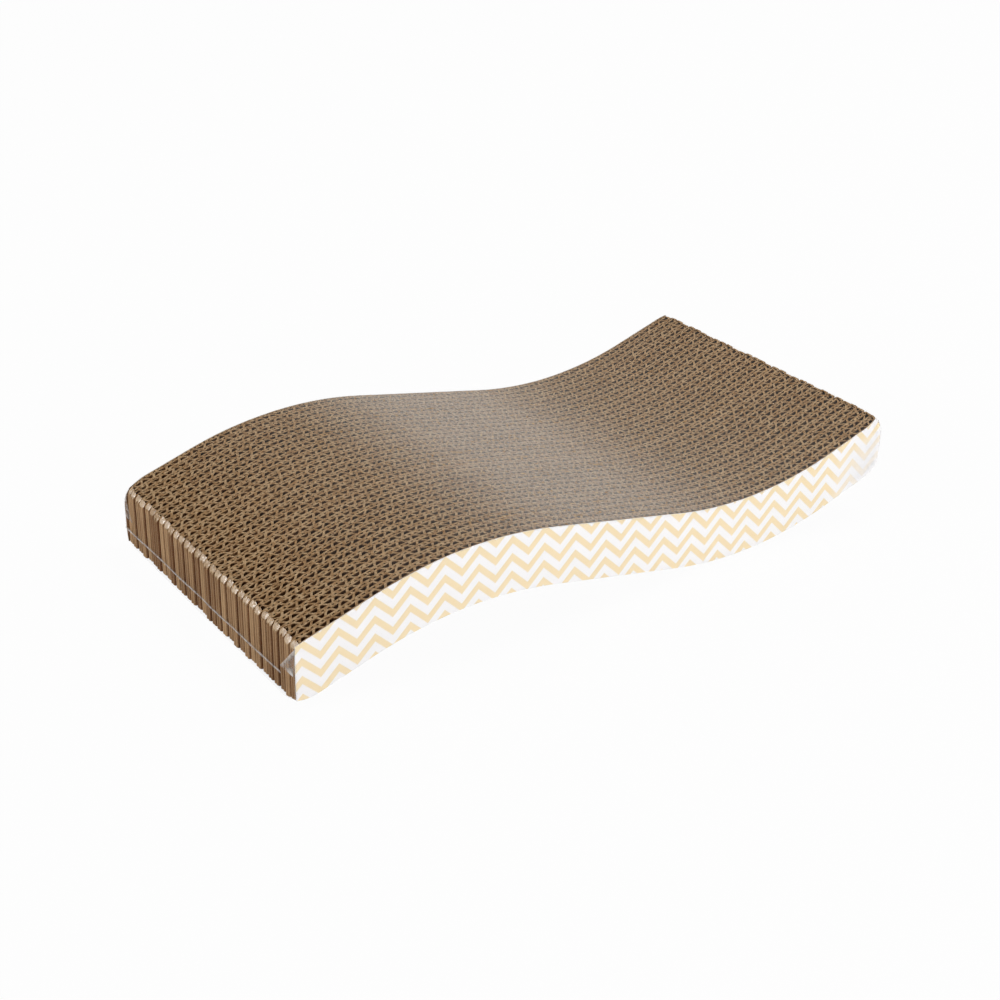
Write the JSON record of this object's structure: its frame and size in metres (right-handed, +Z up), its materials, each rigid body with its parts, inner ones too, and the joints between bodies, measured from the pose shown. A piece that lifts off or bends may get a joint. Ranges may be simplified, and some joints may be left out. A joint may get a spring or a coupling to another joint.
{
  "type": "cardboard cat scratcher",
  "caption": "Wave-shaped scratching pad of upright fluted cardboard strips glued side by side, with printed side panels and a clear shrink film.",
  "frame": {"origin": "on the floor under the middle of the pad", "axes": "+X along the pad from its low end to its high end, +Y from the front panel to the back panel, +Z up"},
  "size_m": [0.4312, 0.2171, 0.0651],
  "materials": {
    "kraft_board": "matt brown kraft paper with fine fibres",
    "printed_card": "white coated card printed with pale orange chevrons",
    "clear_film": "clear glossy shrink film"
  },
  "bodies": {
    "root": {"strip_01": "kraft_board", "strip_02": "kraft_board", "strip_03": "kraft_board", "strip_04": "kraft_board", "strip_05": "kraft_board", "strip_06": "kraft_board", "strip_07": "kraft_board", "strip_08": "kraft_board", "strip_09": "kraft_board", "strip_10": "kraft_board", "strip_11": "kraft_board", "strip_12": "kraft_board", "strip_13": "kraft_board", "strip_14": "kraft_board", "strip_15": "kraft_board", "strip_16": "kraft_board", "strip_17": "kraft_board", "strip_18": "kraft_board", "strip_19": "kraft_board", "strip_20": "kraft_board", "strip_21": "kraft_board", "strip_22": "kraft_board", "strip_23": "kraft_board", "strip_24": "kraft_board", "strip_25": "kraft_board", "strip_26": "kraft_board", "strip_27": "kraft_board", "strip_28": "kraft_board", "strip_29": "kraft_board", "strip_30": "kraft_board", "strip_31": "kraft_board", "strip_32": "kraft_board", "front_panel": "printed_card", "back_panel": "printed_card", "shrink_film": "clear_film"}
  },
  "joints": []
}
